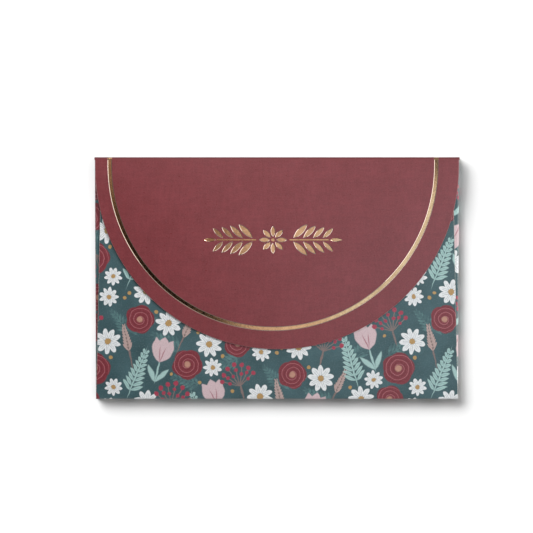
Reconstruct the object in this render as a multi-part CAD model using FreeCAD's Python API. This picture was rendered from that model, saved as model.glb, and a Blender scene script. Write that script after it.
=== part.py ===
import FreeCAD
import Part
import math
import os

from FreeCAD import Vector

# Gift card holder folded from one sheet of printed card: a flat pocket whose round flap closes over its front.
# It lies on its back. X runs across it, Y runs up to the hinged edge and Z runs out of its front.
# The origin is under the middle of the back. Lengths are in millimetres and angles in degrees.

# Folded size
holder_width = 114.5
holder_height = 76.3

# Card stock: a fold is a bent strip where it is glued shut, and a thin round crease where it opens
card_thickness = 0.45
fold_inner_radius = 0.15
crease_gap = 0.03

# Pocket
pocket_depth = 1.8
wall_end_gap = 0.3
side_flap_width = 13.0
side_flap_slant = 5.0
side_flap_bottom_gap = 1.0
side_flap_top_gap = 3.0
glue_thickness = 0.1
glue_width = 7.0
glue_edge_gap = 3.0
glue_end_gap = 4.0
front_mouth_gap = 11.32
front_bottom_inset = 0.1
front_top_inset = 1.8
front_corner_radius = 3.0
thumb_notch_radius = 9.5
thumb_notch_rounding = 2.0

# Closing flap
flap_side_inset = 0.2
flap_shoulder = 2.9
flap_front_gap = 0.25
closure_dot_radius = 5.0
closure_dot_thickness = 0.2
closure_dot_tip_gap = 5.0

# Stamped foil, pressed into the flap: a line inside the flap's edge, printed a little off its middle
foil_thickness = 0.04
foil_stamp_depth = 0.2
foil_line_margin = 5.85
foil_line_width = 1.35
foil_shift_across = -1.25
foil_shift_up = 0.65

# Stamped foil sprig: a rosette with a leafy stem on each side
sprig_drop = 25.4
rosette_dot_radius = 0.55
petal_count = 8
petal_start = 0.95
petal_length = 3.45
petal_width = 1.5
stem_start = 5.2
stem_width = 0.45
stem_tail = 1.9
leaf_pairs = 4
leaf_first = 1.2
leaf_pitch = 3.1
leaf_length = 6.2
leaf_width = 1.9
leaf_gap = 0.3
leaf_angle = 45.0
next_leaf_share = 0.9
end_leaf_share = 0.62

# One overrun for every cut
cut_overrun = 1.0

# Levels above the surface that the holder lies on
side_flap_level = card_thickness + pocket_depth
side_wall_height = side_flap_level + card_thickness
front_level = side_wall_height + glue_thickness
bottom_wall_height = front_level + card_thickness
flap_level = bottom_wall_height + flap_front_gap
flap_top = flap_level + card_thickness

# Places across and up the holder
half_width = holder_width / 2
half_height = holder_height / 2
fold_outer_radius = fold_inner_radius + card_thickness
panel_edge = half_width - fold_outer_radius
panel_bottom = fold_outer_radius - half_height
crease_radius = card_thickness / 2
crease_line = half_height - crease_radius
hinged_edge = crease_line - crease_radius - crease_gap
back_crease_level = crease_radius
flap_crease_level = flap_level + crease_radius
front_edge = hinged_edge - front_mouth_gap
flap_radius = half_width - flap_side_inset
flap_arc_level = hinged_edge - flap_shoulder
flap_tip = flap_arc_level - flap_radius


def polygon(points):
    """Closed face through flat points (x, y)."""
    corners = [Vector(x, y, 0) for x, y in points]
    return Part.Face(Part.makePolygon(corners + corners[:1]))


def edges_face(edges):
    """Face inside edges that are given in order."""
    return Part.Face(Part.Wire([edge.toShape() for edge in edges]))


def line(start, end):
    return Part.LineSegment(start, end)


def raised(face, level, thickness):
    """Solid of a flat face, from a level up through a thickness."""
    solid = face.extrude(Vector(0, 0, thickness))
    solid.translate(Vector(0, 0, level))
    return solid


def upright_edges(solid, wanted):
    """Edges along Z whose place (x, y) is wanted."""
    found = []
    for edge in solid.Edges:
        ends = [vertex.Point for vertex in edge.Vertexes]
        if len(ends) == 2 and (ends[0] - ends[1]).cross(Vector(0, 0, 1)).Length < Part.Precision.confusion():
            if wanted(ends[0].x, ends[0].y):
                found.append(edge)
    return found


def mirrored(shape):
    """The same piece on the holder's other side."""
    return shape.mirror(Vector(0, 0, 0), Vector(1, 0, 0))


def fold_strip(height, length):
    """Glued fold: card bent up from the back and in again at a height, along Y, with its outer face at X 0."""
    bend_middle_share = math.sqrt(0.5)
    low_centre = Vector(fold_outer_radius, 0, fold_outer_radius)
    high_centre = Vector(fold_outer_radius, 0, height - fold_outer_radius)

    def bend(centre, radius, up):
        start = centre + Vector(0, 0, up * radius)
        middle = centre + Vector(-1, 0, up) * (bend_middle_share * radius)
        end = centre + Vector(-radius, 0, 0)
        return start, middle, end

    low_outer = bend(low_centre, fold_outer_radius, -1)
    low_inner = bend(low_centre, fold_inner_radius, -1)
    high_outer = bend(high_centre, fold_outer_radius, 1)
    high_inner = bend(high_centre, fold_inner_radius, 1)
    section = edges_face([
        Part.Arc(*low_outer),
        line(low_outer[-1], high_outer[-1]),
        Part.Arc(*reversed(high_outer)),
        line(high_outer[0], high_inner[0]),
        Part.Arc(*high_inner),
        line(high_inner[-1], low_inner[-1]),
        Part.Arc(*reversed(low_inner)),
        line(low_inner[0], low_outer[0]),
    ])
    return section.extrude(Vector(0, length, 0))


def back_panel():
    face = polygon([
        (-panel_edge, panel_bottom),
        (panel_edge, panel_bottom),
        (panel_edge, hinged_edge),
        (-panel_edge, hinged_edge),
    ])
    return raised(face, 0, card_thickness)


def left_wall():
    start = panel_bottom + wall_end_gap
    strip = fold_strip(side_wall_height, hinged_edge - wall_end_gap - start)
    strip.translate(Vector(-half_width, start, 0))
    return strip


def bottom_wall():
    width = 2 * (half_width - front_bottom_inset)
    strip = fold_strip(bottom_wall_height, width)
    strip.rotate(Vector(0, 0, 0), Vector(0, 0, 1), 90)
    strip.translate(Vector(width / 2, -half_height, 0))
    return strip


def left_side_flap():
    outer = -panel_edge
    inner = outer + side_flap_width
    low = panel_bottom + side_flap_bottom_gap
    high = hinged_edge - side_flap_top_gap
    face = polygon([
        (outer, low),
        (inner, low + side_flap_slant),
        (inner, high - side_flap_slant),
        (outer, high),
    ])
    return raised(face, side_flap_level, card_thickness)


def left_glue_strip():
    """Glue between a side flap and the front panel."""
    outer = glue_edge_gap - panel_edge
    low = panel_bottom + side_flap_bottom_gap + side_flap_slant + glue_end_gap
    high = front_edge - front_corner_radius - glue_end_gap
    face = polygon([(outer, low), (outer + glue_width, low), (outer + glue_width, high), (outer, high)])
    return raised(face, side_wall_height, glue_thickness)


def front_panel():
    """Front of the pocket: narrower towards its free edge, which has a thumb notch."""
    bottom_half = half_width - front_bottom_inset
    top_half = half_width - front_top_inset
    low_left = Vector(-bottom_half, panel_bottom, 0)
    low_right = Vector(bottom_half, panel_bottom, 0)
    high_right = Vector(top_half, front_edge, 0)
    high_left = Vector(-top_half, front_edge, 0)
    notch_right = Vector(thumb_notch_radius, front_edge, 0)
    notch_low = Vector(0, front_edge - thumb_notch_radius, 0)
    notch_left = Vector(-thumb_notch_radius, front_edge, 0)
    face = edges_face([
        line(low_left, low_right),
        line(low_right, high_right),
        line(high_right, notch_right),
        Part.Arc(notch_right, notch_low, notch_left),
        line(notch_left, high_left),
        line(high_left, low_left),
    ])
    panel = raised(face, front_level, card_thickness)
    half_way_up = (front_edge + panel_bottom) / 2
    half_way_out = (thumb_notch_radius + top_half) / 2
    corners = upright_edges(panel, lambda x, y: y > half_way_up and abs(x) > half_way_out)
    panel = panel.makeFillet(front_corner_radius, corners)
    shoulders = upright_edges(panel, lambda x, y: y > half_way_up and abs(x) < half_way_out)
    return panel.makeFillet(thumb_notch_rounding, shoulders)


def crease(level):
    """Scored line that a panel swings on."""
    return Part.makeCylinder(crease_radius, holder_width, Vector(-half_width, crease_line, level), Vector(1, 0, 0))


def top_spine():
    """Narrow panel between the two creases of the hinged edge."""
    low = back_crease_level + crease_radius + crease_gap
    high = flap_crease_level - crease_radius - crease_gap
    corner = Vector(-half_width, crease_line - crease_radius, low)
    return Part.makeBox(holder_width, card_thickness, high - low, corner)


def arch(radius, middle, arc_level, top):
    """Face with two straight sides down from a top edge and a half circle below them."""
    left = middle - radius
    right = middle + radius
    return edges_face([
        line(Vector(right, top, 0), Vector(left, top, 0)),
        line(Vector(left, top, 0), Vector(left, arc_level, 0)),
        Part.Arc(Vector(left, arc_level, 0), Vector(middle, arc_level - radius, 0), Vector(right, arc_level, 0)),
        line(Vector(right, arc_level, 0), Vector(right, top, 0)),
    ])


def foil_line_face(overrun):
    """Outline of the foil line, which runs out over the hinged edge by an overrun."""
    radius = flap_radius - foil_line_margin
    arc_level = flap_arc_level + foil_shift_up
    top = hinged_edge + overrun
    outer = arch(radius + foil_line_width / 2, foil_shift_across, arc_level, top)
    inner = arch(radius - foil_line_width / 2, foil_shift_across, arc_level, top)
    return outer.cut(inner)


def leaf_face(base, angle, length, width):
    """Leaf of two equal arcs, from its base point towards an angle."""
    radians = math.radians(angle)
    along = Vector(math.cos(radians), math.sin(radians), 0)
    across = Vector(-along.y, along.x, 0) * (width / 2)
    tip = base + along * length
    middle = base + along * (length / 2)
    return edges_face([Part.Arc(base, middle + across, tip), Part.Arc(tip, middle - across, base)])


def rosette_faces():
    faces = [Part.Face(Part.Wire(Part.makeCircle(rosette_dot_radius)))]
    for number in range(petal_count):
        angle = 360 * number / petal_count
        start = Vector(petal_start, 0, 0)
        petal = leaf_face(start, 0, petal_length, petal_width)
        petal.rotate(Vector(0, 0, 0), Vector(0, 0, 1), angle)
        faces.append(petal)
    return faces


def stem_faces():
    """Right-hand stem with its pairs of leaves and the leaf at its end."""
    stem_end = stem_start + leaf_first + (leaf_pairs - 1) * leaf_pitch + stem_tail
    half_stem = stem_width / 2
    faces = [polygon([
        (stem_start, -half_stem),
        (stem_end, -half_stem),
        (stem_end, half_stem),
        (stem_start, half_stem),
    ])]
    for number in range(leaf_pairs):
        share = next_leaf_share ** number
        foot = stem_start + leaf_first + number * leaf_pitch
        for side in (1, -1):
            base = Vector(foot, side * (half_stem + leaf_gap), 0)
            faces.append(leaf_face(base, side * leaf_angle, leaf_length * share, leaf_width * share))
    end_base = Vector(stem_end + leaf_gap, 0, 0)
    faces.append(leaf_face(end_base, 0, leaf_length * end_leaf_share, leaf_width * end_leaf_share))
    return faces


def sprig_face():
    """All the parts of the sprig, in their place on the flap."""
    right = stem_faces()
    left = [mirrored(face) for face in right]
    sprig = Part.makeCompound(rosette_faces() + right + left)
    sprig.translate(Vector(foil_shift_across, hinged_edge - sprig_drop, 0))
    return sprig


def stamped(faces, depth, height):
    """Solids of flat faces, from a depth below the flap's face up through a height."""
    return Part.makeCompound([raised(face, flap_top - depth, height) for face in faces])


def closing_flap():
    panel = raised(arch(flap_radius, 0, flap_arc_level, hinged_edge), flap_level, card_thickness)
    line_groove = stamped(foil_line_face(cut_overrun).Faces, foil_stamp_depth, cut_overrun)
    sprig_hollows = stamped(sprig_face().Faces, foil_stamp_depth, cut_overrun)
    return panel.cut(line_groove).cut(sprig_hollows)


def foil_line():
    return stamped(foil_line_face(0).Faces, foil_stamp_depth, foil_thickness)


def foil_sprig():
    return stamped(sprig_face().Faces, foil_stamp_depth, foil_thickness)


def closure_dot():
    """Low-tack dot under the flap's tip, which holds the flap to the front panel."""
    centre = Vector(0, flap_tip + closure_dot_tip_gap + closure_dot_radius, flap_level - closure_dot_thickness)
    return Part.makeCylinder(closure_dot_radius, closure_dot_thickness, centre)


def holder_parts():
    left = {
        "left_wall": left_wall(),
        "left_side_flap": left_side_flap(),
        "left_glue_strip": left_glue_strip(),
    }
    right = {name.replace("left", "right"): mirrored(piece) for name, piece in left.items()}
    return {
        "back_panel": back_panel(),
        "bottom_wall": bottom_wall(),
        "front_panel": front_panel(),
        **left,
        **right,
        "back_crease": crease(back_crease_level),
        "top_spine": top_spine(),
        "flap_crease": crease(flap_crease_level),
        "closing_flap": closing_flap(),
        "foil_line": foil_line(),
        "foil_sprig": foil_sprig(),
        "closure_dot": closure_dot(),
    }


os.makedirs("parts", exist_ok=True)
for part_name, part_shape in holder_parts().items():
    part_shape.exportStep(os.path.join("parts", part_name + ".step"))
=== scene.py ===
import math

import bmesh
import bpy
import numpy as np
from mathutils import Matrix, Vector, geometry


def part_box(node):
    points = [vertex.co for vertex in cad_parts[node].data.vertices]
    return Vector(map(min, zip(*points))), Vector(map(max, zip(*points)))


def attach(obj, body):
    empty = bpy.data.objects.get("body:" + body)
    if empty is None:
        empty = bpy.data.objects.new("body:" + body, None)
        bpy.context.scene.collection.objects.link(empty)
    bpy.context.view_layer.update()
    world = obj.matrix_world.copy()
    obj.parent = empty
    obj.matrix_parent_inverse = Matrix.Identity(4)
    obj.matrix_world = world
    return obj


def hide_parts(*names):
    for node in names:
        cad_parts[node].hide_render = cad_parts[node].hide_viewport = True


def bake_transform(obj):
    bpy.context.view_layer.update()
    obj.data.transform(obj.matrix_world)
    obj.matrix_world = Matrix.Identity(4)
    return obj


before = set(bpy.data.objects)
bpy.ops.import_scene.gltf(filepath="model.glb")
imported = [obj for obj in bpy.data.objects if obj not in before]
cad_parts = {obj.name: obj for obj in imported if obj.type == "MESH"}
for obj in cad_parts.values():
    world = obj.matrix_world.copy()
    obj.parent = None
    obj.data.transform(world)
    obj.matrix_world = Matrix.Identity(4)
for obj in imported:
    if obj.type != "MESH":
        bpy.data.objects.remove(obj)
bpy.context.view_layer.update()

# Lengths in this script are millimetres, and Blender's own are metres
MM = 0.001


def low(node):
    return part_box(node)[0] / MM


def high(node):
    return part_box(node)[1] / MM


def heights_of(node):
    return low(node).z, high(node).z


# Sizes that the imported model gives
card = high("back_panel").z - low("back_panel").z
fold_radius = high("left_wall").x - low("left_wall").x
side_wall_height = high("left_wall").z
bottom_wall_height = high("bottom_wall").z
half_width = high("top_spine").x
spine_face = high("top_spine").y
hinged_edge = high("closing_flap").y
flap_tip = low("closing_flap").y
flap_top = high("closing_flap").z
flap_under = low("closing_flap").z
foil_floor = low("foil_line").z
foil_face = high("foil_line").z
foil_left = low("foil_line").x
foil_right = high("foil_line").x

# Finer sizes that only the looks need
edge_round = 0.16
sheet_step = 1.8
stamp_bevel = 0.2
bevel_share = 0.2
seam_reach = 0.01
crease_reach = 0.3
crease_blend = 0.3
bend_steps = 8
strip_steps = 24
flap_droop = 0.06
front_sag = 0.12
# How pale each fold's upper bend is painted: rubbed wear, and the right fold's extra paleness is a painted
# highlight of the light from the right
fold_rubs_and_highlight = {"left": 0.08, "right": 0.28, "bottom": 0.05}
foil_line_width = 1.35
foil_end_gap = 0.02
panel_end = hinged_edge - crease_reach
stamp_end = panel_end - foil_end_gap
weld_distance = 0.001
flat_share = 0.99
sharp_turn = math.radians(20)
foil_turn = math.radians(6)


# Outlines

def cad_loops(node, facing):
    """Outlines (x, y) of a node's flat faces, those that face up for 1 and down for -1, anticlockwise."""
    shape = bmesh.new()
    shape.from_mesh(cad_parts[node].data)
    bmesh.ops.remove_doubles(shape, verts=shape.verts, dist=weld_distance * MM)
    flat = {face for face in shape.faces if face.normal.z * facing > flat_share}
    neighbours = {}
    for edge in shape.edges:
        if sum(face in flat for face in edge.link_faces) == 1:
            for here, there in (edge.verts, reversed(edge.verts)):
                neighbours.setdefault(here, []).append(there)
    loops = []
    while neighbours:
        here = next(iter(neighbours))
        loop = []
        while here in neighbours:
            loop.append(here.co.xy / MM)
            ways = neighbours.pop(here)
            here = next((way for way in ways if way in neighbours), None)
        loops.append(anticlockwise(loop))
    shape.free()
    return loops


def sides_of(loop):
    """Each point of an outline with the one after it."""
    return zip(loop, loop[1:] + loop[:1])


def area(loop):
    return sum(here.cross(after) for here, after in sides_of(loop)) / 2


def anticlockwise(loop):
    return loop if area(loop) > 0 else loop[::-1]


def refined(loop, step):
    """The same outline, with no edge longer than a step."""
    points = []
    for here, after in sides_of(loop):
        count = max(1, math.ceil((after - here).length / step))
        points += [here.lerp(after, number / count) for number in range(count)]
    return points


def at_seam(place, seams):
    return any(abs(place[axis] - level) < seam_reach for axis, level in seams)


def moved_in(loop, distance, seams=()):
    """An outline moved in by a distance, with mitred corners, but kept out at its seams (axis, level)."""
    mitre_limit = 0.4
    points = []
    for before, here, after in zip(loop[-1:] + loop[:-1], loop, loop[1:] + loop[:1]):
        first = (here - before).orthogonal().normalized()
        second = (after - here).orthogonal().normalized()
        inward = (first + second).normalized()
        place = here + inward * (distance / max(inward.dot(first), mitre_limit))
        for axis, level in seams:
            if at_seam(here, [(axis, level)]):
                place[axis] = level
        points.append(place)
    return points


def bevel_of(loop):
    """Width of the slope round a stamp, less on narrow shapes."""
    around = sum((after - here).length for here, after in sides_of(loop))
    return min(stamp_bevel, bevel_share * 2 * area(loop) / around)


def stamp_floor(loop):
    """Outline of a stamp's floor, which runs straight out at the hinged edge."""
    return moved_in(loop, bevel_of(loop), [(1, stamp_end)])


def capped(loop, top):
    """An outline that stops at a level up the sheet."""
    return [Vector((point.x, min(point.y, top))) for point in loop]


def gap_to(points, loop):
    """Distance of each point from an outline's edges."""
    starts = np.array(loop)
    sides = np.roll(starts, -1, axis=0) - starts
    offsets = points[:, None, :] - starts[None, :, :]
    shares = np.clip((offsets * sides).sum(2) / (sides * sides).sum(1), 0, 1)
    return np.linalg.norm(offsets - shares[:, :, None] * sides, axis=2).min(1)


def within(points, loop):
    """Which points lie inside an outline."""
    starts = np.array(loop)
    ends = np.roll(starts, -1, axis=0)
    x, y = points[:, :1], points[:, 1:]
    rises = (starts[:, 1] > y) != (ends[:, 1] > y)
    heights = np.where(ends[:, 1] == starts[:, 1], 1, ends[:, 1] - starts[:, 1])
    crossings = starts[:, 0] + (y - starts[:, 1]) / heights * (ends[:, 0] - starts[:, 0])
    return (rises & (x < crossings)).sum(1) % 2 == 1


def lattice(outline, rings, step):
    """Evenly spread points inside an outline, clear of its edges and of the rings."""
    clear_share = 0.55
    row_share = math.sqrt(0.75)
    corners = np.array(outline)
    start, end = corners.min(0), corners.max(0)
    rows = []
    for number, y in enumerate(np.arange(start[1], end[1], step * row_share)):
        across = np.arange(start[0] + (number % 2) * step / 2, end[0], step)
        rows.append(np.stack([across, np.full_like(across, y)], axis=1))
    points = np.concatenate(rows)
    keep = within(points, outline) & (gap_to(points, outline) > clear_share * step)
    for ring in rings:
        keep &= ~within(points, ring) & (gap_to(points, ring) > clear_share * step)
    return [Vector(point) for point in points[keep]]


def filled(outline, rings, step):
    """Triangles inside an outline that follow the rings: points, triangles and each loop's own numbers."""
    closeness = 1e-6
    loops = [outline, *rings]
    given = [point for loop in loops for point in loop]
    edges, starts = [], []
    for loop in loops:
        start = starts[-1] + len(loops[len(starts) - 1]) if starts else 0
        starts.append(start)
        edges += [(start + number, start + (number + 1) % len(loop)) for number in range(len(loop))]
    spread = lattice(outline, rings, step)
    points, _, triangles, sources, _, _ = geometry.delaunay_2d_cdt(given + spread, edges, [], 1, closeness)
    number_of = {source: number for number, found in enumerate(sources) for source in found}
    numbers = [
        [number_of[start + step_on] for step_on in range(len(loop))] for start, loop in zip(starts, loops)
    ]
    return points, triangles, numbers


# Pieces

def new_piece(name, points, faces, finish_numbers, finishes, prints, wear, turn=sharp_turn):
    """A mesh of points in millimetres, with its finishes, its place on the print and how pale its edges are
    painted: worn edges, and some painted highlights.
    """
    mesh = bpy.data.meshes.new(name)
    mesh.from_pydata([Vector(point) * MM for point in points], [], faces)
    for finish in finishes:
        mesh.materials.append(finish)
    mesh.polygons.foreach_set("material_index", finish_numbers)
    layer = mesh.uv_layers.new(name="print")
    for corner in mesh.loops:
        layer.data[corner.index].uv = prints[corner.vertex_index]
    mesh.attributes.new("wear", "FLOAT", "POINT").data.foreach_set("value", wear)
    mesh.shade_smooth()
    mesh.set_sharp_from_angle(angle=turn)
    piece = bpy.data.objects.new(name, mesh)
    bpy.context.scene.collection.objects.link(piece)
    return piece


def dressed(piece, body, slot, *nodes):
    """The piece moves with a body and stands for CAD nodes."""
    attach(piece, body)
    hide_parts(*nodes)


def flat_lift(x, y):
    return 0


def card_sheet(name, outline, levels, finishes, print_place, seams=(), lift=flat_lift, stamps=()):
    """Sheet of card with soft cut edges: finishes are those of its upper face, its under face and its edge.

    At a seam (axis, level) it meets a fold.
    Each stamp is an outline pressed into the upper face down to a level.
    """
    bottom, top = levels
    outline = refined(outline, sheet_step)
    soft_share = 1 - math.sqrt(0.5)
    profile = [(soft_share, soft_share), (0, 1)]
    rim = moved_in(outline, edge_round, seams)
    free = [0 if at_seam(place, seams) else 1 for place in outline]
    stamp_rings = [ring for stamp, _ in stamps for ring in (stamp, stamp_floor(stamp))]
    upper, upper_faces, upper_loops = filled(rim, stamp_rings, sheet_step)
    under, under_faces, under_loops = filled(rim, [], sheet_step)
    heights = np.full(len(upper), float(top))
    for number, (_, level) in enumerate(stamps):
        heights[upper_loops[2 * number + 2]] = level

    points, wear, faces, finish_numbers = [], [], [], []

    def add(place, height, worn):
        points.append((place.x, place.y, height + lift(place.x, place.y)))
        wear.append(worn)
        return len(points) - 1

    for place, height in zip(upper, heights):
        add(place, height, 0)
    base = len(points)
    for place in under:
        add(place, bottom, 0)
    faces += list(upper_faces) + [[base + number for number in reversed(face)] for face in under_faces]
    finish_numbers += [0] * len(upper_faces) + [1] * len(under_faces)

    rings = [upper_loops[0]]
    for inset, drop in profile:
        ring = moved_in(outline, inset * edge_round, seams)
        rings.append([add(place, top - drop * edge_round, bare) for place, bare in zip(ring, free)])
    for inset, drop in reversed(profile):
        ring = moved_in(outline, inset * edge_round, seams)
        rings.append([add(place, bottom + drop * edge_round, bare) for place, bare in zip(ring, free)])
    rings.append([base + number for number in under_loops[0]])
    band_finishes = [0, 0, 2, 1, 1]
    for above, below, finish in zip(rings, rings[1:], band_finishes):
        for number in range(len(outline)):
            after = (number + 1) % len(outline)
            faces.append([above[number], below[number], below[after], above[after]])
            finish_numbers.append(finish)
    prints = [print_place(x, y) for x, y, _ in points]
    return new_piece(name, points, faces, finish_numbers, finishes, prints, wear)


def bent_strip(name, outer, inner, place, ends, finishes, print_place, rub=0):
    """Strip of card between two lines of a section, drawn along a straight way from end to end.

    The rub is how pale the upper of its two bends is painted, as wear and as painted highlight.
    """
    count = len(outer)
    arcs = [0]
    for here, after in zip(outer, outer[1:]):
        arcs.append(arcs[-1] + (Vector(after) - Vector(here)).length)
    stations = [ends[0] + (ends[1] - ends[0]) * number / strip_steps for number in range(strip_steps + 1)]
    points, prints, wear = [], [], []
    upper_bend = [(step - bend_steps - 1) / bend_steps for step in range(count)]
    bend_rub_and_highlight = [rub * max(0, math.sin(math.pi * share)) for share in upper_bend]
    for station in stations:
        for line in (outer, inner):
            points += [place(Vector(point), station) for point in line]
            prints += [print_place(arc, station) for arc in arcs]
        wear += bend_rub_and_highlight + [0] * count
    faces, finish_numbers = [], []

    def add(face, finish):
        faces.append(face)
        finish_numbers.append(finish)

    ring = 2 * count
    last = count - 1
    for number in range(strip_steps):
        here, after = number * ring, (number + 1) * ring
        under_here, under_after = here + count, after + count
        for step in range(last):
            add([here + step, after + step, after + step + 1, here + step + 1], 0)
            add([under_here + step + 1, under_after + step + 1, under_after + step, under_here + step], 1)
        add([under_here, under_after, after, here], 2)
        add([here + last, after + last, under_after + last, under_here + last], 2)
    final = strip_steps * ring
    for step in range(last):
        add([step, step + 1, count + step + 1, count + step], 2)
        add([final + count + step, final + count + step + 1, final + step + 1, final + step], 2)
    piece = new_piece(name, points, faces, finish_numbers, finishes, prints, wear)
    outward = bmesh.new()
    outward.from_mesh(piece.data)
    bmesh.ops.recalc_face_normals(outward, faces=outward.faces)
    outward.to_mesh(piece.data)
    outward.free()
    return piece


def arc(centre, radius, start, end):
    """Points of an arc, from one angle to another in degrees."""
    points = []
    for number in range(bend_steps + 1):
        angle = math.radians(start + (end - start) * number / bend_steps)
        points.append((centre[0] + radius * math.cos(angle), centre[1] + radius * math.sin(angle)))
    return points


def fold_section(height):
    """Outer and inner line of a glued fold: (distance in from the outer face, height)."""
    inner_radius = fold_radius - card
    lines = []
    for radius in (fold_radius, inner_radius):
        low_bend = arc((fold_radius, fold_radius), radius, 270, 180)
        high_bend = arc((fold_radius, height - fold_radius), radius, 180, 90)
        lines.append(low_bend + high_bend)
    return lines


# Places on the print: the flat sheet before folding, in millimetres

bend_length = fold_radius * math.pi / 2


def wall_length(height):
    return 2 * bend_length + height - 2 * fold_radius


front_bottom = low("front_panel").y
front_edge = high("front_panel").y
holder_bottom = low("bottom_wall").y
panel_bottom = low("back_panel").y
panel_edge = high("back_panel").x
back_start = front_bottom - wall_length(bottom_wall_height)


def back_print(x, y):
    return x, back_start - (y - panel_bottom)


def bottom_print(along, x):
    return x, back_start + along


def side_wall_print(side):
    return lambda along, y: (side * (panel_edge + along), back_print(0, y)[1])


def side_flap_print(side):
    start = panel_edge + wall_length(side_wall_height)
    return lambda x, y: (side * (start + panel_edge - side * x), back_print(0, y)[1])


def plain_print(x, y):
    return x, y


# Finishes

def ink(red, green, blue):
    """A colour as it is seen, from 0 to 255, as the shader needs it."""
    linear = []
    for level in (red, green, blue):
        share = level / 255
        linear.append(share / 12.92 if share <= 0.04045 else ((share + 0.055) / 1.055) ** 2.4)
    return (*linear, 1)


class Value:
    """One output of a node. Operators on it add Math nodes."""

    def __init__(self, nodes, socket):
        self.nodes = nodes
        self.socket = socket

    def math(self, operation, *others):
        return self.nodes.node("ShaderNodeMath", {"operation": operation}, [self, *others])

    def vector(self, operation, *others, output=0):
        return self.nodes.node("ShaderNodeVectorMath", {"operation": operation}, [self, *others], output)

    def parts(self):
        node = self.nodes.node("ShaderNodeSeparateXYZ", {}, [self]).socket.node
        return [Value(self.nodes, socket) for socket in node.outputs]

    def span(self, start, end, low_value=0, high_value=1, way="LINEAR"):
        """The value's way from a start to an end, as a value between two others."""
        settings = {"interpolation_type": way}
        return self.nodes.node("ShaderNodeMapRange", settings, [self, start, end, low_value, high_value])

    def below(self, edge, soft):
        """1 where the value is under an edge, with a soft step."""
        return self.span(edge + soft, edge - soft, way="SMOOTHSTEP")

    def __add__(self, other):
        return self.math("ADD", other)

    def __sub__(self, other):
        return self.math("SUBTRACT", other)

    def __rsub__(self, other):
        return self.math("MULTIPLY_ADD", -1, other)

    def __mul__(self, other):
        return self.math("MULTIPLY", other)

    def __truediv__(self, other):
        return self.math("DIVIDE", other)

    def __rtruediv__(self, other):
        return self.nodes.node("ShaderNodeMath", {"operation": "DIVIDE"}, [other, self])

    def __abs__(self):
        return self.math("ABSOLUTE")

    __radd__ = __add__
    __rmul__ = __mul__


class Nodes:
    """The nodes of a material or of the world."""

    def __init__(self, owner):
        owner.use_nodes = True
        self.tree = owner.node_tree

    def node(self, kind, settings, inputs, output=0):
        """A node's output: its settings are set first, then the values or links of its sockets."""
        made = self.tree.nodes.new(kind)
        for name, value in settings.items():
            setattr(made, name, value)
        self.fill(made, inputs.items() if isinstance(inputs, dict) else enumerate(inputs))
        return Value(self, made.outputs[output])

    def fill(self, node, inputs):
        for key, value in inputs:
            if isinstance(value, Value):
                self.tree.links.new(value.socket, node.inputs[key])
            else:
                node.inputs[key].default_value = value


class Finish(Nodes):
    """A material and its nodes."""

    def __init__(self, name):
        self.material = bpy.data.materials.new(name)
        super().__init__(self.material)

    def surface(self, **inputs):
        """Sets the shader's sockets, named with _ for a space."""
        sockets = [(name.replace("_", " "), value) for name, value in inputs.items()]
        self.fill(self.tree.nodes["Principled BSDF"], sockets)
        return self.material

    def mix(self, share, first, second):
        return self.node("ShaderNodeMix", {"data_type": "RGBA"}, {0: share, 6: first, 7: second}, 2)

    def print_place(self):
        return self.node("ShaderNodeUVMap", {"uv_map": "print"}, [])

    def object_place(self):
        """The place on the object at rest, in millimetres."""
        place = self.node("ShaderNodeTexCoord", {}, [], "Object")
        return self.node("ShaderNodeVectorMath", {"operation": "SCALE"}, {0: place, "Scale": 1 / MM})

    # How pale a place is painted: wear on card edges, and painted highlight on the foil's slopes and the
    # right fold
    def wear(self):
        return self.node("ShaderNodeAttribute", {"attribute_name": "wear"}, [], "Fac")

    def noise(self, place, size, detail=2, rough=0.5):
        """Cloudy noise from 0 to 1, with features of a size in millimetres."""
        inputs = {"Vector": place, "Scale": 1 / size, "Detail": detail, "Roughness": rough}
        return self.node("ShaderNodeTexNoise", {}, inputs)

    def bump(self, height, distance):
        """Surface relief: a height from 0 to 1 of a distance in millimetres."""
        inputs = {"Height": height, "Distance": distance * MM, "Strength": 1}
        return self.node("ShaderNodeBump", {}, inputs, "Normal")


# The print: a half-drop repeat of small flowers and sprigs on the flat sheet

repeat_width = 48.0
repeat_height = 35.0

# Places in the repeat before they settle apart: across, up, size and turn in degrees
daisy_places = [
    (14.0, 3.0, 4.1, 10),
    (9.0, 12.5, 3.9, 0),
    (39.0, 14.5, 4.1, 25),
    (27.5, 31.0, 4.1, 15),
    (29.5, 3.0, 2.9, 15),
    (45.0, 2.5, 2.8, 30),
    (28.5, 23.0, 2.9, 20),
    (42.5, 29.5, 3.0, 0),
]
rose_places = [(4.5, 4.0, 4.6, 0), (37.0, 5.0, 5.2, 80), (20.5, 24.5, 4.9, 200), (35.5, 33.0, 4.4, 140)]
tulip_places = [(11.0, 30.0, 15.0, -14), (30.5, 13.0, 15.5, 16)]
fern_places = [(22.0, 8.0, 17.0, 16), (3.5, 22.5, 16.5, -22)]
umbel_places = [(16.5, 15.0, 13.5, -12), (36.0, 23.5, 13.0, 16)]
barley_places = [(46.5, 12.5, 15.0, 12), (19.5, 34.0, 14.0, -24)]
dot_places = [
    (10.0, 7.0, 0.6, 0),
    (25.5, 18.5, 0.55, 0),
    (1.5, 13.0, 0.55, 0),
    (42.0, 9.0, 0.6, 0),
    (31.0, 28.0, 0.6, 0),
    (15.5, 20.5, 0.55, 0),
    (48.0, 29.0, 0.6, 0),
    (24.0, 1.0, 0.55, 0),
    (34.0, 18.0, 0.55, 0),
]
ghost_places = [
    (14.0, 32.0, 9.0, 60),
    (38.0, 12.5, 8.0, -60),
    (27.0, 13.0, 8.0, -30),
    (4.0, 3.0, 9.0, -75),
    (47.0, 21.0, 7.5, 40),
    (32.5, 26.0, 8.0, 110),
    (20.0, 20.0, 8.0, 75),
]


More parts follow.
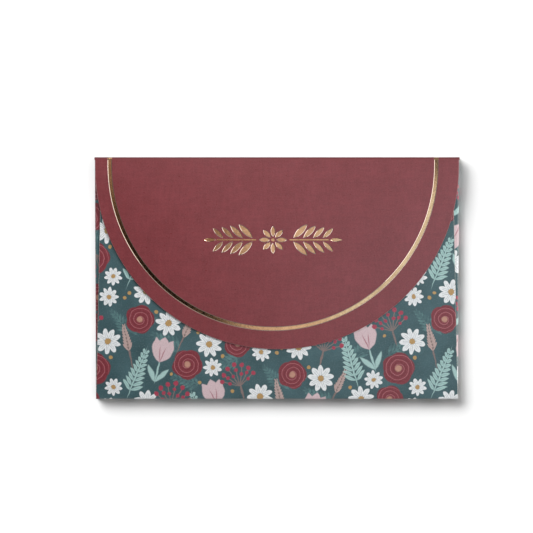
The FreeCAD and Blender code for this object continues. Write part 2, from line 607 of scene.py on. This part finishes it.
def settled(drawings):
    """Places of the motifs after those that overlap have moved apart, a little at a time."""
    rounds = 150
    gap = 0.45
    ease = 0.35
    least_length = 0.01
    places, owners, offsets, radii = [], [], [], []
    for _, discs, group in drawings:
        for across, up, size, turn in group:
            for height, radius in discs:
                lean = math.radians(turn)
                owners.append(len(places))
                offsets.append((-math.sin(lean) * height * size, math.cos(lean) * height * size))
                radii.append(radius * size)
            places.append((across, up))
    places, owners, offsets, radii = np.array(places), np.array(owners), np.array(offsets), np.array(radii)
    reach = radii[:, None] + radii + gap
    others = owners[:, None] != owners
    for _ in range(rounds):
        discs = places[owners] + offsets
        ways = discs[:, None] - discs
        ways -= np.round(ways[..., :1] / repeat_width) * (repeat_width, repeat_height / 2)
        ways[..., 1] -= np.round(ways[..., 1] / repeat_height) * repeat_height
        lengths = np.maximum(np.linalg.norm(ways, axis=2), least_length)
        overlaps = np.where(others, np.maximum(reach - lengths, 0), 0)
        np.add.at(places, owners, (ways * (ease * overlaps / lengths)[..., None]).sum(1))
    return places


def motif_axes(repeat, across, up, size, turn):
    """A motif's own x and y, as shares of its size, from the place in the repeat."""
    centre = (across / repeat_width, up / repeat_height - across / (2 * repeat_width), 0)
    offset = repeat.vector("SUBTRACT", centre).vector("WRAP", (0.5, 0.5, 0.5), (-0.5, -0.5, -0.5))
    cosine = math.cos(math.radians(turn)) / size
    sine = math.sin(math.radians(turn)) / size
    drop = repeat_height / 2
    x_way = (cosine * repeat_width + sine * drop, sine * repeat_height, 0)
    y_way = (cosine * drop - sine * repeat_width, cosine * repeat_height, 0)
    return offset.vector("DOT_PRODUCT", x_way, output=1), offset.vector("DOT_PRODUCT", y_way, output=1)


def length_of(x, y):
    return (x * x + y * y).math("SQRT")


def turned(x, y, angle):
    """Axes turned by an angle in degrees."""
    cosine, sine = math.cos(math.radians(angle)), math.sin(math.radians(angle))
    return x.math("MULTIPLY_ADD", cosine, y * sine), y.math("MULTIPLY_ADD", cosine, x * -sine)


def leaf(x, y, length, half_leaf, soft):
    """Leaf shape along y from 0 to a length."""
    along = y.math("MULTIPLY_ADD", 2 / length, -1)
    width = (along * along).math("MULTIPLY_ADD", -half_leaf, half_leaf)
    return (abs(x) - width).below(0, soft)


def most(first, second):
    return second if first is None else first.math("MAXIMUM", second)


def daisy(x, y):
    """Oval petals with two lines each, round a gold heart."""
    petals = 9
    petal_middle = 0.62
    half_petal = (0.4, 0.205)
    line_place = 0.3
    heart = 0.24
    radius = length_of(x, y)
    angle = y.math("ARCTAN2", x).math("WRAP", math.pi / petals, -math.pi / petals)
    along = (radius * angle.math("COSINE") - petal_middle) / half_petal[0]
    across = radius * angle.math("SINE") / half_petal[1]
    petal = (along * along + across * across).below(1, 0.16)
    line = abs(abs(across) - line_place).below(0.07, 0.06) * along.below(0.3, 0.1)
    return {"white": petal, "white_line": line * petal, "gold": radius.below(heart, 0.03)}


def rose(x, y):
    """A scalloped round with one line wound round its heart."""
    scallops = 5
    scallop_depth = 0.12
    windings = 3.6
    heart = 0.2
    radius = length_of(x, y)
    angle = y.math("ARCTAN2", x)
    scallop = abs((angle * (scallops / 2)).math("COSINE"))
    shape = (radius / scallop.math("MULTIPLY_ADD", scallop_depth, 1 - scallop_depth)).below(1, 0.04)
    swirl = radius.math("MULTIPLY_ADD", windings, angle * (0.5 / math.pi)).math("WRAP", 0.5, -0.5)
    line = abs(swirl).below(0.07, 0.05) * radius.below(0.9, 0.05)
    return {
        "burgundy": shape,
        "rose_shade": swirl.span(0.05, 0.5, 0, 0.6) * shape,
        "rose_line": line * shape,
        "rose_heart": radius.below(heart, 0.06),
    }


def tulip(x, y):
    """A cup of three petals on a stem with two leaves."""
    out = abs(x)
    cup_y = y + 0.04
    middle_petal = leaf(x, cup_y, length=0.54, half_leaf=0.15, soft=0.015)
    side_petals = leaf(*turned(out, cup_y, -20), length=0.53, half_leaf=0.125, soft=0.015)
    veins = leaf(*turned(out, cup_y, -11), length=0.34, half_leaf=0.011, soft=0.008)
    stem = leaf(x, y + 0.5, length=0.52, half_leaf=0.022, soft=0.01)
    leaves = leaf(*turned(out, y + 0.47, -34), length=0.4, half_leaf=0.05, soft=0.015)
    return {
        "pink": middle_petal.math("MAXIMUM", side_petals),
        "pink_line": veins,
        "mint": stem.math("MAXIMUM", leaves),
    }


def feathered(x, y, slant, pitch, reach, half_leaf):
    """Pairs of leaves along a stem that tapers from y 0 to y 1."""
    taper = 0.72
    out = abs(x)
    slanted = out.math("MULTIPLY_ADD", -slant, y)
    nearest = (slanted / pitch).math("ROUND") * pitch
    across = slanted - nearest
    tip = nearest.math("MULTIPLY_ADD", -taper * reach, reach)
    along = (out / tip).math("MULTIPLY_ADD", 2, -1)
    width = (along * along).math("MULTIPLY_ADD", -half_leaf, half_leaf)
    on_stem = abs(nearest - 0.5).below(0.52, 0.01)
    return (abs(across) - width).below(0, 0.012) * on_stem


def fern(x, y):
    """Ribbed leaves in pairs, smaller towards the tip."""
    closeness = 1.22
    slant, pitch = 0.7, 0.118
    out, up = x * closeness, y.math("MULTIPLY_ADD", closeness, 0.39)
    leaves = feathered(out, up, slant, pitch, reach=0.25, half_leaf=0.052)
    ribs = feathered(out, up, slant, pitch, reach=0.2, half_leaf=0.008)
    stem = leaf(out, up + 0.22, length=1.3, half_leaf=0.02, soft=0.008)
    return {"mint": leaves.math("MAXIMUM", stem), "mint_line": ribs}


def barley(x, y):
    """An ear of grains on a thin stalk."""
    closeness = 1.8
    out, up = x * closeness, y.math("MULTIPLY_ADD", closeness, 0.1)
    grains = feathered(out, up, slant=1.6, pitch=0.13, reach=0.18, half_leaf=0.08)
    stalk = leaf(x, y + 0.5, length=0.95, half_leaf=0.018, soft=0.008)
    return {"straw": grains, "taupe": stalk}


def umbel(x, y):
    """A fan of spokes with a berry on each and a second one further in."""
    spread = math.radians(20)
    half_fan = 3.5 * spread
    berry_radius, second_radius = 0.09, 0.07
    half_spoke, spoke_end = 0.02, 0.86
    closeness = 1.65
    out, up = x * closeness, y.math("MULTIPLY_ADD", closeness, 0.2)
    radius = length_of(out, up)
    angle = out.math("ARCTAN2", up)
    ray = (angle / spread).math("ROUND") * spread
    fan = abs(angle).below(half_fan, 0.01)
    off_ray = angle - ray
    along = radius * off_ray.math("COSINE")
    across = radius * off_ray.math("SINE")
    reach = abs(ray).math("MULTIPLY_ADD", -0.16, 0.92)
    berry = length_of(along - reach, across).below(berry_radius, 0.02)
    second_reach = abs((ray / spread).math("MODULO", 2)).math("MULTIPLY_ADD", -0.16, 0.74)
    second = length_of(along - reach * second_reach, across).below(second_radius, 0.02)
    spoke = abs(across).below(half_spoke, 0.012) * along.below(spoke_end, 0.02)
    stem = leaf(out, up + 0.63, length=0.85, half_leaf=0.04, soft=0.015)
    return {"crimson": berry.math("MAXIMUM", second) * fan, "taupe": (spoke * fan).math("MAXIMUM", stem)}


def gold_dot(x, y):
    return {"gold": length_of(x, y).below(1, 0.15)}


def ghost_leaf(x, y):
    leaves = feathered(x, y + 0.4, slant=0.9, pitch=0.17, reach=0.34, half_leaf=0.075)
    return leaves.math("MAXIMUM", leaf(x, y + 0.5, length=1.1, half_leaf=0.03, soft=0.02))


inks = {
    "ghost": ink(96, 134, 134),
    "taupe": ink(132, 112, 108),
    "straw": ink(186, 160, 154),
    "mint": ink(170, 202, 198),
    "mint_line": ink(128, 166, 164),
    "burgundy": ink(128, 46, 56),
    "rose_shade": ink(104, 34, 44),
    "rose_line": ink(172, 104, 110),
    "rose_heart": ink(190, 140, 120),
    "pink": ink(214, 188, 192),
    "pink_line": ink(176, 118, 128),
    "white": ink(236, 237, 238),
    "white_line": ink(182, 188, 190),
    "gold": ink(184, 146, 92),
    "crimson": ink(168, 58, 80),
}
paper = ink(222, 216, 206)


def print_finish():
    """Coated card with a matte print of small flowers on a dark green-blue ground."""
    finish = Finish("printed_card")
    flat = finish.print_place()
    sway, sway_scale = 0.7, 0.45
    sway_inputs = {"Vector": flat, "Scale": sway_scale, "Detail": 2}
    wobble = finish.node("ShaderNodeTexNoise", {}, sway_inputs, "Color")
    hand_drawn = wobble.vector("MULTIPLY_ADD", (sway, sway, 0), (-sway / 2, -sway / 2, 0)).vector("ADD", flat)
    sheet_x, sheet_y, _ = hand_drawn.parts()
    columns = sheet_x / repeat_width
    rows = sheet_y.math("MULTIPLY_ADD", 1 / repeat_height, columns * -0.5)
    repeat = finish.node("ShaderNodeCombineXYZ", {}, [columns, rows, 0])
    flower_discs = [(0, 1)]
    drawings = [
        (barley, [(0.32, 0.1), (0.08, 0.12), (-0.3, 0.06)], barley_places),
        (fern, [(0.28, 0.14), (0.0, 0.19), (-0.28, 0.14)], fern_places),
        (umbel, [(0.2, 0.36), (-0.33, 0.1)], umbel_places),
        (rose, flower_discs, rose_places),
        (tulip, [(0.24, 0.27), (-0.25, 0.2)], tulip_places),
        (daisy, flower_discs, daisy_places),
        (gold_dot, flower_discs, dot_places),
    ]
    masks = dict.fromkeys(inks)
    settled_places = iter(settled(drawings))
    for place in ghost_places:
        masks["ghost"] = most(masks["ghost"], ghost_leaf(*motif_axes(repeat, *place)))
    for draw, _, group in drawings:
        for _, _, size, turn in group:
            x, y = motif_axes(repeat, *next(settled_places), size, turn)
            for name, mask in draw(x, y).items():
                masks[name] = most(masks[name], mask)
    cloud = finish.noise(flat, 9, 3)
    wash = finish.noise(flat, 2.2, 4, 0.6)
    ground = finish.mix(cloud.span(0.3, 0.7), ink(50, 78, 83), ink(70, 101, 107))
    colour = finish.mix(wash.span(0.35, 0.75, 0, 0.5), ground, ink(62, 88, 92))
    masks["ghost"] = masks["ghost"] * wash.span(0.35, 0.65, 0.15, 0.95)
    for name, tint in inks.items():
        colour = finish.mix(masks[name], colour, tint)
    grain = finish.noise(flat, 0.4, 3, 0.7)
    colour = finish.mix(grain.span(0.45, 0.75, 0, 0.24), colour, ink(40, 42, 44))
    colour = finish.mix(grain.span(0.45, 0.2, 0, 0.12), colour, ink(226, 226, 224))
    # Paper shows at worn edges and bends; on the right fold this paleness is also a painted highlight
    rub = finish.wear() * finish.noise(flat, 0.5, 3).span(0.35, 0.6, 0.15, 0.8)
    colour = finish.mix(rub, colour, paper)
    return finish.surface(
        Base_Color=colour,
        Roughness=grain.span(0.3, 0.7, 0.3, 0.4),
        Normal=finish.bump(grain, 0.008),
        Specular_IOR_Level=0.5,
    )


def flap_finish():
    """Coated card in a plain deep red under a matte film that shows the board's faint weave."""
    finish = Finish("flap_card")
    place = finish.object_place()
    mottle = finish.noise(place, 7, 3)
    fibre = finish.noise(place, 0.4, 3, 0.65)
    warp = finish.noise(place.vector("MULTIPLY", (1, 0.2, 1)), 0.7, 2)
    weft = finish.noise(place.vector("MULTIPLY", (0.2, 1, 1)), 0.7, 2)
    weave = (warp + weft) / 2
    colour = finish.mix(mottle.span(0.3, 0.7), ink(120, 45, 50), ink(129, 52, 58))
    colour = finish.mix(weave.span(0.4, 0.65, 0, 0.5), colour, ink(104, 36, 42))
    colour = finish.mix(fibre.span(0.45, 0.8, 0, 0.45), colour, ink(150, 81, 85))
    rub = finish.wear() * finish.noise(place, 0.6, 3).span(0.3, 0.65, 0.1, 0.7)
    colour = finish.mix(rub, colour, ink(196, 150, 148))
    return finish.surface(
        Base_Color=colour,
        Roughness=fibre.span(0.3, 0.7, 0.27, 0.36),
        Normal=finish.bump(fibre + weave, 0.009),
        Specular_IOR_Level=0.56,
    )


def fold_finish():
    """The flap's card at its folds, where the foil line runs over them, with painted shade darkening the red
    over the bend.
    """
    finish = Finish("flap_card_fold")
    place = finish.object_place()
    x, y, _ = place.parts()
    fibre = finish.noise(place, 0.35, 3, 0.6)
    bend_start, bend_end = 0.5, 0.42
    bend = y.span(spine_face - bend_start, spine_face - bend_end)
    # Painted shade: over the rounded bend the red goes darker, as if the bend turned away from the light
    red_with_painted_shade = finish.mix(bend, ink(120, 47, 52), ink(96, 22, 30))
    worn_red_with_painted_shade = finish.mix(bend, ink(134, 60, 65), ink(108, 34, 42))
    colour = finish.mix(fibre.span(0.35, 0.75, 0, 0.6), red_with_painted_shade, worn_red_with_painted_shade)
    middle = (foil_left + foil_right) / 2
    line_radius = (foil_right - foil_left - foil_line_width) / 2
    foil = abs(abs(x - middle) - line_radius).below(foil_line_width / 2, 0.02)
    colour = finish.mix(foil, colour, ink(158, 124, 93))
    return finish.surface(
        Base_Color=colour,
        Metallic=foil,
        Roughness=foil.span(0, 1, bend.span(0, 1, 0.32, 0.55), 0.25),
        Normal=finish.bump(fibre, 0.01),
    )


def foil_finish():
    """Hot-stamped foil: bright metal that shows the board's grain through it, painted near white up its
    slopes.
    """
    finish = Finish("stamped_foil")
    place = finish.object_place()
    grain = finish.noise(place, 0.5, 3, 0.6)
    broad = finish.noise(place, 6, 2)
    band = finish.noise(place, 1.6, 2)
    colour = finish.mix(broad.span(0.3, 0.7), ink(178, 138, 103), ink(202, 161, 124))
    colour = finish.mix(band.span(0.5, 0.7, 0, 0.3), colour, ink(158, 118, 86))
    colour = finish.mix(grain.span(0.5, 0.75, 0, 0.35), colour, ink(150, 112, 82))
    colour = finish.mix(grain.span(0.5, 0.25, 0, 0.3), colour, ink(222, 184, 146))
    # Near white towards the rim of each slope: thinner stretched foil, and also a painted highlight that
    # whitens what the slopes reflect
    return finish.surface(
        Base_Color=finish.mix(finish.wear(), colour, ink(240, 234, 226)),
        Metallic=1,
        Roughness=grain.span(0.3, 0.7, 0.06, 0.14),
        Normal=finish.bump(grain + broad, 0.005),
    )


def inside_finish():
    """Uncoated reverse of the card."""
    finish = Finish("card_reverse")
    place = finish.object_place()
    fibre = finish.noise(place, 0.3, 4, 0.65)
    cloud = finish.noise(place, 5, 3)
    colour = finish.mix(cloud.span(0.3, 0.7), ink(228, 223, 214), ink(232, 228, 220))
    colour = finish.mix(fibre.span(0.5, 0.8, 0, 0.2), colour, ink(200, 192, 181))
    return finish.surface(Base_Color=colour, Roughness=0.85, Normal=finish.bump(fibre, 0.02))


def core_finish():
    """Cut edge of the card, with its layers."""
    finish = Finish("card_edge")
    layer_pitch = 0.15
    place = finish.object_place()
    _, _, z = place.parts()
    layers = (z * (2 * math.pi / layer_pitch)).math("SINE")
    fibre = finish.noise(place, 0.25, 3, 0.6)
    colour = finish.mix(fibre.span(0.3, 0.7), ink(206, 198, 186), ink(226, 220, 210))
    colour = finish.mix(layers.span(0.2, 1, 0, 0.3), colour, ink(180, 170, 158))
    return finish.surface(Base_Color=colour, Roughness=0.9, Normal=finish.bump(fibre, 0.02))


def glue_finish():
    """Dried paper glue."""
    finish = Finish("dried_glue")
    place = finish.object_place()
    blotch = finish.noise(place, 1.5, 3)
    colour = finish.mix(blotch.span(0.3, 0.7), ink(214, 200, 160), ink(230, 220, 190))
    return finish.surface(Base_Color=colour, Roughness=blotch.span(0.3, 0.7, 0.25, 0.5))


def dot_finish():
    """Clear low-tack adhesive."""
    finish = Finish("tack_dot")
    place = finish.object_place()
    cloud = finish.noise(place, 1.2, 3)
    colour = finish.mix(cloud.span(0.3, 0.7), ink(206, 204, 198), ink(224, 222, 216))
    return finish.surface(
        Base_Color=colour,
        Roughness=cloud.span(0.3, 0.7, 0.12, 0.25),
        Normal=finish.bump(cloud, 0.02),
        Alpha=0.5,
    )


# The pocket

def front_lift(x, y):
    """How far the front panel sags into the pocket, most at the middle of its free edge."""
    up = (y - front_bottom) / (front_edge - front_bottom)
    return -front_sag * (1 - (x / half_width) ** 2) * math.sin(math.pi * up / 2)


def make_pocket(printed, reverse, edge):
    front = card_sheet(
        "front_sheet",
        cad_loops("front_panel", 1)[0],
        heights_of("front_panel"),
        (printed, reverse, edge),
        plain_print,
        [(1, front_bottom)],
        front_lift,
    )
    dressed(front, "pocket", "printed_card", "front_panel")

    back = card_sheet(
        "back_sheet",
        capped(cad_loops("back_panel", 1)[0], panel_end),
        heights_of("back_panel"),
        (reverse, printed, edge),
        back_print,
        [(0, -panel_edge), (0, panel_edge), (1, panel_bottom), (1, panel_end)],
    )
    dressed(back, "pocket", "printed_card", "back_panel")

    bottom = bent_strip(
        "bottom_fold",
        *fold_section(bottom_wall_height),
        lambda point, x: (x, holder_bottom + point.x, point.y),
        (low("bottom_wall").x, high("bottom_wall").x),
        (printed, reverse, edge),
        bottom_print,
        fold_rubs_and_highlight["bottom"],
    )
    dressed(bottom, "pocket", "printed_card", "bottom_wall")

    for side, word in ((-1, "left"), (1, "right")):
        flap_node = word + "_side_flap"
        flap = card_sheet(
            word + "_glue_flap",
            cad_loops(flap_node, 1)[0],
            heights_of(flap_node),
            (printed, reverse, edge),
            side_flap_print(side),
            [(0, side * panel_edge)],
        )
        dressed(flap, "pocket", "printed_card", flap_node)
        wall_node = word + "_wall"
        wall = bent_strip(
            word + "_fold",
            *fold_section(side_wall_height),
            lambda point, y, side=side: (side * (half_width - point.x), y, point.y),
            (low(wall_node).y, high(wall_node).y),
            (printed, reverse, edge),
            side_wall_print(side),
            fold_rubs_and_highlight[word],
        )
        dressed(wall, "pocket", "printed_card", wall_node)


# The hinged edge

def make_hinged_edge(outside, reverse, edge):
    inner_face = spine_face - card
    spine_low = low("top_spine").z + crease_reach
    spine_high = high("top_spine").z - crease_reach
    ends = (-half_width, half_width)
    finishes = (outside, reverse, edge)

    def across(point, x):
        return x, point.x, point.y

    spine = bent_strip(
        "spine_sheet",
        [(spine_face, spine_low), (spine_face, spine_high)],
        [(inner_face, spine_low), (inner_face, spine_high)],
        across,
        ends,
        finishes,
        plain_print,
    )
    dressed(spine, "spine", "flap_card", "top_spine")

    corner = (inner_face, flap_under)
    flap_outer = [(spine_face, spine_high), *arc(corner, card, 0, 90), (panel_end, flap_top)]
    flap_inner = [(inner_face, spine_high), *[corner] * (bend_steps + 1), (panel_end, flap_under)]
    back_corner = (inner_face, card)
    back_outer = [(panel_end, 0), *arc(back_corner, card, 270, 360), (spine_face, spine_low)]
    back_inner = [(panel_end, card), *[back_corner] * (bend_steps + 1), (inner_face, spine_low)]
    bends = [
        ("flap_bend", flap_outer, flap_inner, "spine", "flap", "flap_crease", (-1, 1)),
        ("back_bend", back_outer, back_inner, "pocket", "spine", "back_crease", (1, 1)),
    ]
    for name, outer, inner, first, second, node, way in bends:
        axis = (low(node) + high(node)) / 2
        step = Vector((0, *way)) * (crease_blend / 2)
        bend = crease_strip(name, outer, inner, across, ends, finishes)
        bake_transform(bend)
        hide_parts(node)


def crease_strip(name, outer, inner, place, ends, finishes):
    """A bent strip whose inner line has a sharp corner, with the doubled points there joined."""
    strip = bent_strip(name, outer, inner, place, ends, finishes, plain_print)
    joined = bmesh.new()
    joined.from_mesh(strip.data)
    bmesh.ops.remove_doubles(joined, verts=joined.verts, dist=weld_distance * MM)
    bmesh.ops.dissolve_degenerate(joined, edges=joined.edges, dist=weld_distance * MM)
    bmesh.ops.recalc_face_normals(joined, faces=joined.faces)
    joined.to_mesh(strip.data)
    joined.free()
    return strip


# The flap

def flap_lift(x, y):
    """How far the flap dips towards its tip."""
    down = max(panel_end - y, 0) / (hinged_edge - flap_tip)
    return -flap_droop * down * down


def stamp_loops():
    """Outlines of the stamped foil: its line and the parts of its sprig."""
    line = refined(cad_loops("foil_line", 1)[0], sheet_step)
    return [capped(line, stamp_end)], cad_loops("foil_sprig", 1)


def make_flap(outside, reverse, edge, foil):
    line_loops, sprig_loops = stamp_loops()
    stamps = [(loop, foil_floor) for loop in line_loops + sprig_loops]
    flap = card_sheet(
        "flap_sheet",
        capped(cad_loops("closing_flap", -1)[0], panel_end),
        (flap_under, flap_top),
        (outside, reverse, edge),
        plain_print,
        [(1, panel_end)],
        flap_lift,
        stamps,
    )
    dressed(flap, "flap", "flap_card", "closing_flap")
    dressed(foil_film("foil_arch", line_loops, foil), "flap", "stamped_foil", "foil_line")
    dressed(foil_film("foil_spray", sprig_loops, foil), "flap", "stamped_foil", "foil_sprig")


def foil_film(name, loops, foil):
    """Thin foil that lines the stamped hollows, up over their slopes."""
    film = foil_face - foil_floor
    rim_gap = 0.005
    points, wear, faces = [], [], []
    for loop in loops:
        floor = stamp_floor(loop)
        places, triangles, numbers = filled(floor, [], sheet_step)
        layers = []
        for level in (film, film / 2):
            base = len(points)
            points += [(place.x, place.y, foil_floor + level + flap_lift(*place)) for place in places]
            rim_base = len(points)
            rim_level = flap_top - rim_gap - film + level
            points += [(place.x, place.y, rim_level + flap_lift(*place)) for place in loop]
            # Rim points 1 and floor points 0: the slopes are painted paler towards the rim, partly thin foil
            # and partly painted highlight
            wear += [0] * len(places) + [1] * len(loop)
            layers.append((base, rim_base))
        count = len(loop)
        for (base, rim_base), way in zip(layers, (1, -1)):
            faces += [[base + number for number in face][::way] for face in triangles]
            for number in range(count):
                after = (number + 1) % count
                quad = [
                    rim_base + number,
                    rim_base + after,
                    base + numbers[0][after],
                    base + numbers[0][number],
                ]
                faces.append(quad[::way])
        (_, upper_rim), (_, under_rim) = layers
        for number in range(count):
            after = (number + 1) % count
            faces.append([under_rim + number, under_rim + after, upper_rim + after, upper_rim + number])
    prints = [(x, y) for x, y, _ in points]
    return new_piece(name, points, faces, [0] * len(faces), [foil], prints, wear, foil_turn)


def make_dot(finish):
    """Tack dot: a thin disc with a soft rim, under the flap's tip."""
    sides = 48
    centre = (low("closure_dot") + high("closure_dot")) / 2
    radius = high("closure_dot").x - centre.x
    top, bottom = high("closure_dot").z, low("closure_dot").z
    thickness = top - bottom
    profile = [
        (0, bottom),
        (radius - 2 * thickness, bottom),
        (radius - thickness / 2, bottom + thickness / 4),
        (radius, bottom + thickness / 2),
        (radius, top),
        (0, top),
    ]
    lift = flap_lift(centre.x, centre.y)
    shape = bmesh.new()
    rows = []
    for out, height in profile:
        spokes = 1 if out == 0 else sides
        row = []
        for number in range(spokes):
            angle = 2 * math.pi * number / sides
            place = (centre.x + out * math.cos(angle), centre.y + out * math.sin(angle), height + lift)
            row.append(shape.verts.new(Vector(place) * MM))
        rows.append(row)
    for above, below in zip(rows, rows[1:]):
        for number in range(sides):
            after = (number + 1) % sides
            corners = [above[number % len(above)], above[after % len(above)]]
            corners += [below[after % len(below)], below[number % len(below)]]
            shape.faces.new(list(dict.fromkeys(corners)))
    bmesh.ops.recalc_face_normals(shape, faces=shape.faces)
    mesh = bpy.data.meshes.new("tack_disc")
    shape.to_mesh(mesh)
    shape.free()
    mesh.materials.append(finish)
    mesh.shade_smooth()
    mesh.set_sharp_from_angle(angle=sharp_turn)
    dot = bpy.data.objects.new("tack_disc", mesh)
    bpy.context.scene.collection.objects.link(dot)
    dressed(dot, "flap", "tack_dot", "closure_dot")


# The stage

frame_pixels = 533
pixels_per_mm = 3.179
holder_centre_pixels = (277.0, 278.75)
camera_distance = 700.0
camera_tilt = math.radians(3.5)


def make_camera():
    """Camera above the holder, a little beyond its hinged edge and tilted back to it."""
    middle = frame_pixels / 2
    aim = Vector((
        (middle - holder_centre_pixels[0]) / pixels_per_mm,
        (holder_centre_pixels[1] - middle) / pixels_per_mm,
        flap_under,
    ))
    back = Vector((0, math.sin(camera_tilt), math.cos(camera_tilt)))
    camera = bpy.data.objects.new("camera", bpy.data.cameras.new("camera"))
    view_width = frame_pixels / pixels_per_mm
    camera.data.lens = camera.data.sensor_width * camera_distance / view_width
    camera.data.clip_start = 0.01
    camera.location = (aim + back * camera_distance) * MM
    camera.rotation_euler = (-camera_tilt, 0, 0)
    bpy.context.scene.collection.objects.link(camera)
    bpy.context.scene.camera = camera


def make_floor():
    """White table."""
    reach = 4.0
    finish = Finish("table_white")
    material = finish.surface(Base_Color=ink(210, 210, 210), Roughness=1.0, Specular_IOR_Level=0.0)
    mesh = bpy.data.meshes.new("table")
    corners = [(-reach, -reach, 0), (reach, -reach, 0), (reach, reach, 0), (-reach, reach, 0)]
    mesh.from_pydata(corners, [], [[0, 1, 2, 3]])
    mesh.materials.append(material)
    table = bpy.data.objects.new("table", mesh)
    bpy.context.scene.collection.objects.link(table)
    return table


def linked(lamp, state, *pieces):
    """Lets a lamp light only these pieces, or all but these."""
    group = bpy.data.collections.new(lamp.name + "_reach")
    for number, piece in enumerate(pieces):
        group.objects.link(piece)
        group.collection_objects[number].light_linking.link_state = state
    lamp.light_linking.receiver_collection = group


def make_lamp(name, kind, place, aim, turn=0, **settings):
    """A lamp at a place in metres that faces an aim, turned in degrees about its own way."""
    lamp = bpy.data.objects.new(name, bpy.data.lights.new(name, kind))
    for setting, value in settings.items():
        setattr(lamp.data, setting, value)
    lamp.location = place
    lamp.rotation_euler = (Vector(aim) - Vector(place)).to_track_quat("-Z", "Y").to_euler()
    lamp.rotation_euler.rotate_axis("Z", math.radians(turn))
    bpy.context.scene.collection.objects.link(lamp)
    return lamp


def sheet_lamp(name, place, size, energy, aim=None, turn=0, color=(1, 1, 1)):
    """A flat lamp of a size (across, up) in metres, which faces straight down without an aim."""
    across, up = size
    aim = aim or (place[0], place[1], 0)
    settings = {"shape": "RECTANGLE", "size": across, "size_y": up, "energy": energy, "color": color}
    return make_lamp(name, "AREA", place, aim, turn, **settings)


def make_light(table):
    """Soft light from the right on the holder, and the table's own light from the upper left.

    The low windows leave out the flap and the front, where they would only put a glare.
    """
    middle = (0, 0, 0)
    warm, cool = (1, 0.84, 0.72), (0.26, 0.76, 1)
    softbox = sheet_lamp("softbox", (0.38, -0.043, 0.45), (0.8, 0.134), 0.373)
    windows = [
        sheet_lamp("near_window", (0.68, -0.26, 0.17), (0.66, 0.26), 0.83, middle),
        sheet_lamp("far_window", (0.646, 0.243, 0.17), (0.4, 0.26), 0.344, middle),
    ]
    holder_lamps = [
        softbox,
        sheet_lamp("key_light", (0.54, 0.31, 0.58), (0.25, 0.25), 3.33, middle),
        sheet_lamp("back_light", (-0.5, 0.42, 0.16), (0.6, 0.16), 0.36, middle),
        sheet_lamp("top_light", (-0.03, 0.1, 0.14), (0.08, 0.08), 0.09, (-0.03, 0, 0)),
        sheet_lamp("left_card", (-0.0194, 0.0608, 0.45), (0.14, 0.156), 0.031, turn=-38, color=warm),
        sheet_lamp("right_card", (0.1855, -0.042, 0.44), (0.309, 0.116), 0.083, color=cool),
        sheet_lamp("veil_card", (0.23, 0.1, 0.46), (0.24, 0.2), 0.2),
    ]
    sun_angle = math.radians(33)
    sky_angle = math.radians(44)
    table_lamps = [
        make_lamp("far_sun", "SUN", (-0.71, 1.39, 0.92), middle, energy=3.85, angle=sun_angle),
        make_lamp("left_sun", "SUN", (-1.25, 0.94, 0.92), middle, energy=3.85, angle=sun_angle),
        make_lamp("table_sky", "SUN", (0.45, 0.29, 0.84), middle, energy=0.7, angle=sky_angle),
    ]
    glossy_sheets = [bpy.data.objects[name] for name in ("flap_sheet", "front_sheet")]
    for lamp in holder_lamps:
        linked(lamp, "EXCLUDE", table)
    for lamp in windows:
        linked(lamp, "EXCLUDE", table, *glossy_sheets)
    for lamp in table_lamps:
        linked(lamp, "INCLUDE", table)


def make_world():
    """Soft light from low round the horizon, most from the right, and a white backdrop.

    Foil and gloss mirror the middle of the backdrop: for them its foot and its top stay dim.
    Heights and places across are those of the way that a ray takes, of length 1.
    """
    light_top, light_levels = (0.75, 0.96), (0.5, 0.01)
    left_to_right, side_levels = (-0.8, 0.8), (0.3, 1)
    mirror_foot, mirror_top = (0.3, 0.42), (0.82, 0.66)
    world = bpy.data.worlds.new("studio")
    bpy.context.scene.world = world
    sky = Nodes(world)
    across, _, height = sky.node("ShaderNodeTexCoord", {}, [], "Generated").parts()
    looks = ("Is Camera Ray", "Is Glossy Ray", "Is Transmission Ray")
    camera_ray, glossy_ray, clear_ray = (sky.node("ShaderNodeLightPath", {}, [], look) for look in looks)
    mirrored = glossy_ray.math("MAXIMUM", clear_ray) * height.span(*mirror_foot) * height.span(*mirror_top)
    light = height.span(*light_top, *light_levels, "SMOOTHSTEP") * across.span(*left_to_right, *side_levels)
    strength = light.math("MAXIMUM", camera_ray.math("MAXIMUM", mirrored))
    sky.fill(sky.tree.nodes["Background"], [("Color", (1, 1, 1, 1)), ("Strength", strength)])


def main():
    printed = print_finish()
    outside = flap_finish()
    reverse = inside_finish()
    edge = core_finish()
    make_pocket(printed, reverse, edge)
    make_hinged_edge(fold_finish(), reverse, edge)
    make_flap(outside, reverse, edge, foil_finish())
    make_dot(dot_finish())
    glue = glue_finish()
    for node in ("left_glue_strip", "right_glue_strip"):
        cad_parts[node].active_material = glue
    make_camera()
    table = make_floor()
    make_light(table)
    make_world()
    bpy.context.scene.view_settings.view_transform = "Standard"


main()
